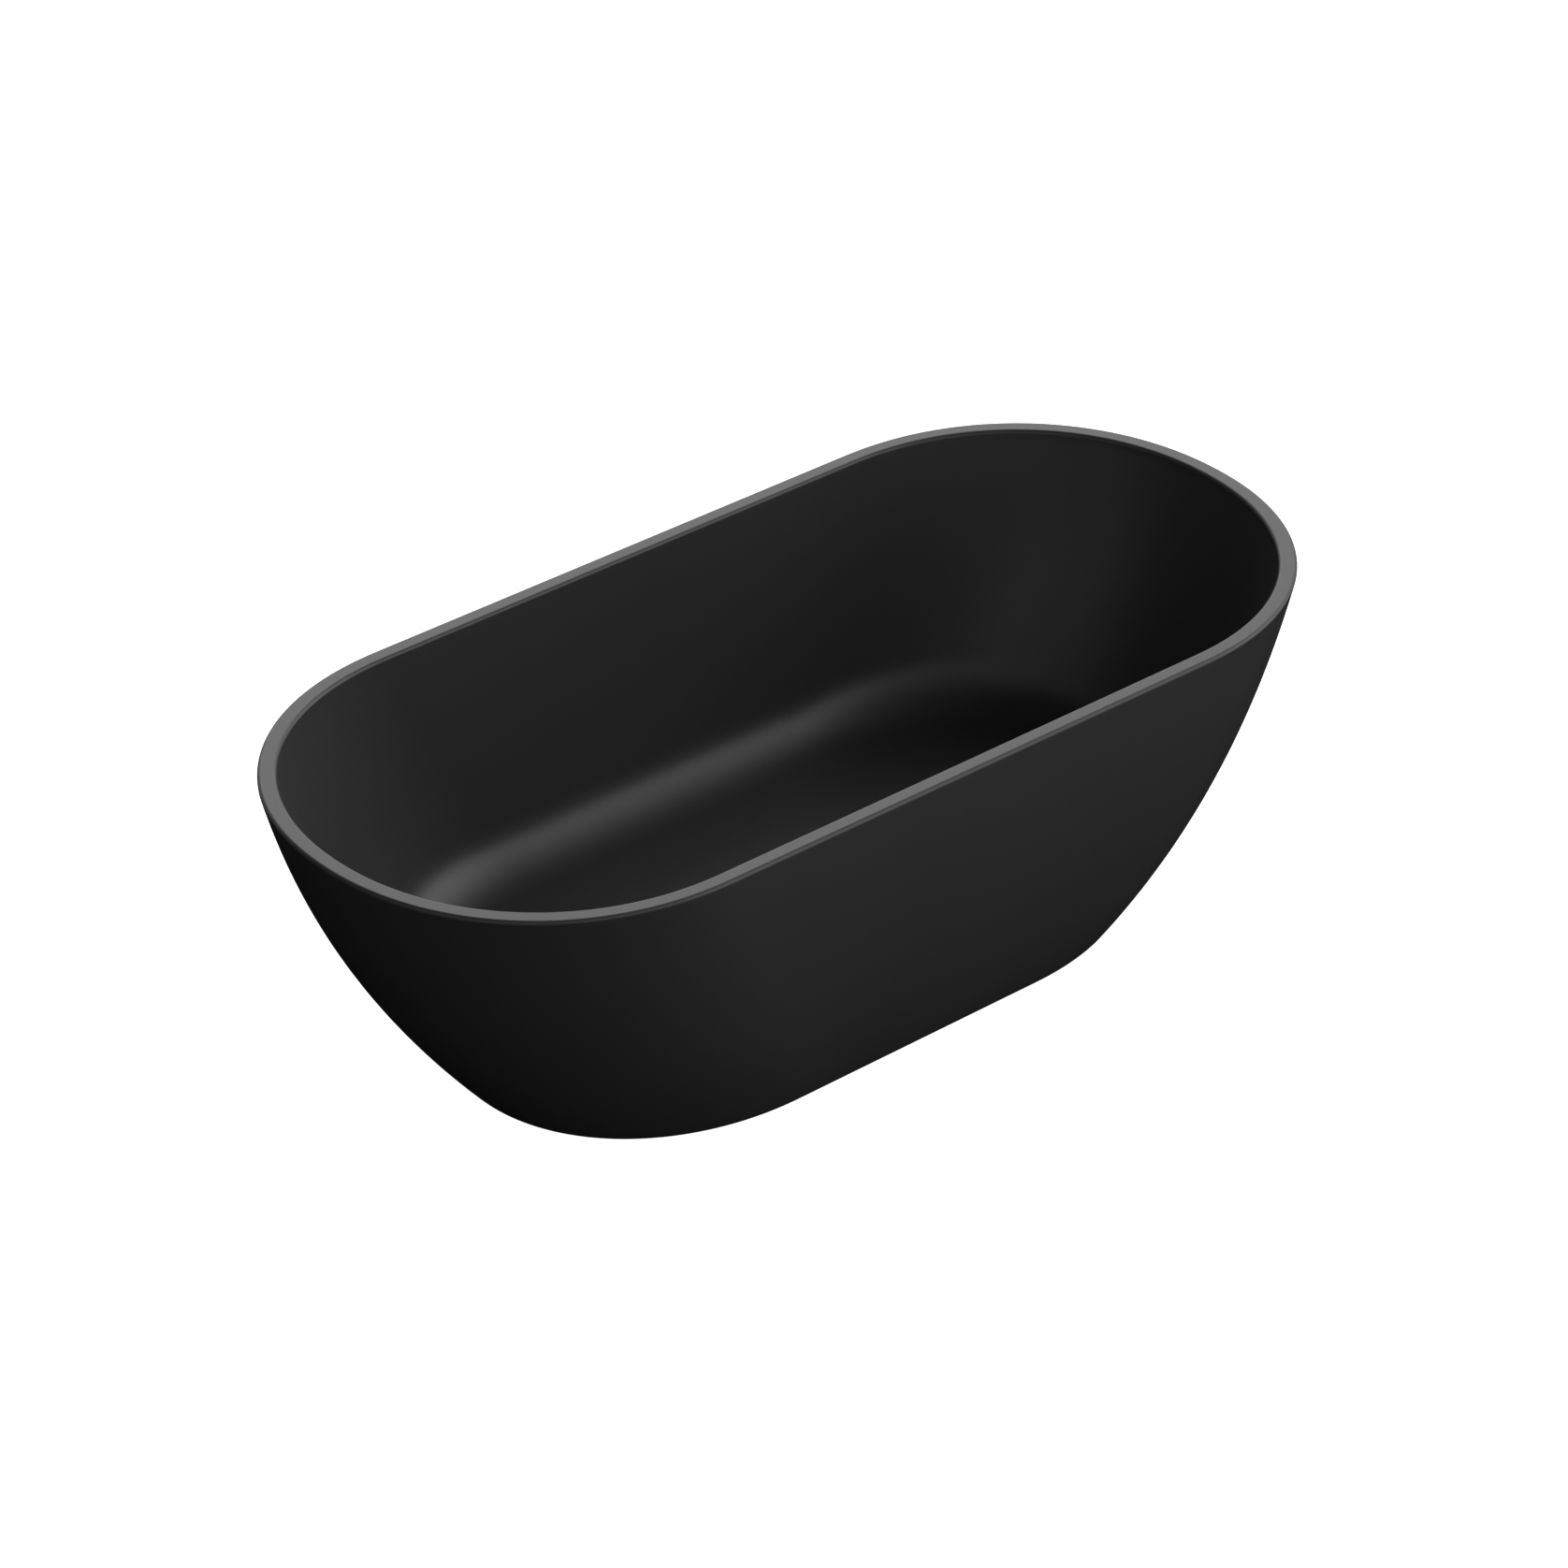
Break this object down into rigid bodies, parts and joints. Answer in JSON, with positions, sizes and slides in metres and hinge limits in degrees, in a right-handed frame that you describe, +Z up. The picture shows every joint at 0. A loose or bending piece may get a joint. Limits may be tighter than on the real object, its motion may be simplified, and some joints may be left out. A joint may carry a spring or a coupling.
{
  "type": "freestanding bathtub",
  "caption": "Oval double-skin freestanding bathtub with a narrow flat rim, sloping ends, a push-open waste, a slot overflow and screw feet inside.",
  "frame": {"origin": "on the floor, under the middle of the tub", "axes": "+X along the length, +Y across the width towards the back, +Z up; the overflow is in the front wall at -Y"},
  "size_m": [1.7, 0.8, 0.52],
  "materials": {
    "black_shell": "satin",
    "joint_adhesive": "satin",
    "board": "matte",
    "steel_frame": "satin",
    "zinc": "satin",
    "black_metal": "satin",
    "black_plastic": "matte",
    "white_plastic": "satin",
    "seal_rubber": "matte",
    "brass": "satin",
    "stainless": "satin"
  },
  "bodies": {
    "tub": {"inner_basin": "black_shell", "outer_skirt": "black_shell", "rim_bond": "joint_adhesive", "base_board": "board", "rail_front": "steel_frame", "rail_back": "steel_frame", "cross_bar_left": "steel_frame", "cross_bar_right": "steel_frame", "rail_plugs": "black_plastic", "bar_plugs": "black_plastic", "rail_bolts": "zinc", "rail_nuts": "zinc", "board_screws": "zinc", "bracket_left_front": "zinc", "bracket_left_back": "zinc", "bracket_right_front": "zinc", "bracket_right_back": "zinc", "bracket_bolts": "zinc", "bracket_nuts": "zinc", "bracket_screws": "zinc", "weld_nuts": "zinc", "lock_nuts": "zinc", "waste_flange": "black_metal", "waste_seal_top": "seal_rubber", "waste_seal_bottom": "seal_rubber", "waste_body": "white_plastic", "click_cartridge": "brass", "cartridge_spring": "stainless", "overflow_trim": "black_metal", "overflow_duct": "black_plastic", "overflow_pipe": "white_plastic", "pipe_nuts": "white_plastic"},
    "plug": {"plug_cap": "black_metal", "plug_seal": "seal_rubber", "plug_stem": "stainless"},
    "pad_left_front_body": {"pad_left_front": "black_plastic"},
    "stud_left_front_body": {"stud_left_front": "zinc"},
    "pad_left_back_body": {"pad_left_back": "black_plastic"},
    "stud_left_back_body": {"stud_left_back": "zinc"},
    "pad_right_front_body": {"pad_right_front": "black_plastic"},
    "stud_right_front_body": {"stud_right_front": "zinc"},
    "pad_right_back_body": {"pad_right_back": "black_plastic"},
    "stud_right_back_body": {"stud_right_back": "zinc"}
  },
  "joints": [
    {"name": "plug_push", "type": "slide", "parent": "tub", "child": "plug", "axis": [0, 0, 1], "range_m": [0, 0.009], "deforming": ["cartridge_spring"]},
    {"name": "foot_height_left_front", "type": "slide", "parent": "tub", "child": "pad_left_front_body", "axis": [0, 0, -1], "range_m": [0, 0.015]},
    {"name": "foot_screw_left_front", "type": "hinge", "parent": "pad_left_front_body", "child": "stud_left_front_body", "pos_m": [-0.38, -0.185, 0], "axis": [0, 0, -1], "range_deg": [0, 3086.7]},
    {"name": "foot_height_left_back", "type": "slide", "parent": "tub", "child": "pad_left_back_body", "axis": [0, 0, -1], "range_m": [0, 0.015]},
    {"name": "foot_screw_left_back", "type": "hinge", "parent": "pad_left_back_body", "child": "stud_left_back_body", "pos_m": [-0.38, 0.185, 0], "axis": [0, 0, -1], "range_deg": [0, 3086.7]},
    {"name": "foot_height_right_front", "type": "slide", "parent": "tub", "child": "pad_right_front_body", "axis": [0, 0, -1], "range_m": [0, 0.015]},
    {"name": "foot_screw_right_front", "type": "hinge", "parent": "pad_right_front_body", "child": "stud_right_front_body", "pos_m": [0.38, -0.185, 0], "axis": [0, 0, -1], "range_deg": [0, 3086.7]},
    {"name": "foot_height_right_back", "type": "slide", "parent": "tub", "child": "pad_right_back_body", "axis": [0, 0, -1], "range_m": [0, 0.015]},
    {"name": "foot_screw_right_back", "type": "hinge", "parent": "pad_right_back_body", "child": "stud_right_back_body", "pos_m": [0.38, 0.185, 0], "axis": [0, 0, -1], "range_deg": [0, 3086.7]}
  ],
  "couplings": [
    {"joint": "foot_screw_left_front", "follows": "foot_height_left_front", "rad_per_m": 3590.4},
    {"joint": "foot_screw_left_back", "follows": "foot_height_left_back", "rad_per_m": 3590.4},
    {"joint": "foot_screw_right_front", "follows": "foot_height_right_front", "rad_per_m": 3590.4},
    {"joint": "foot_screw_right_back", "follows": "foot_height_right_back", "rad_per_m": 3590.4}
  ]
}
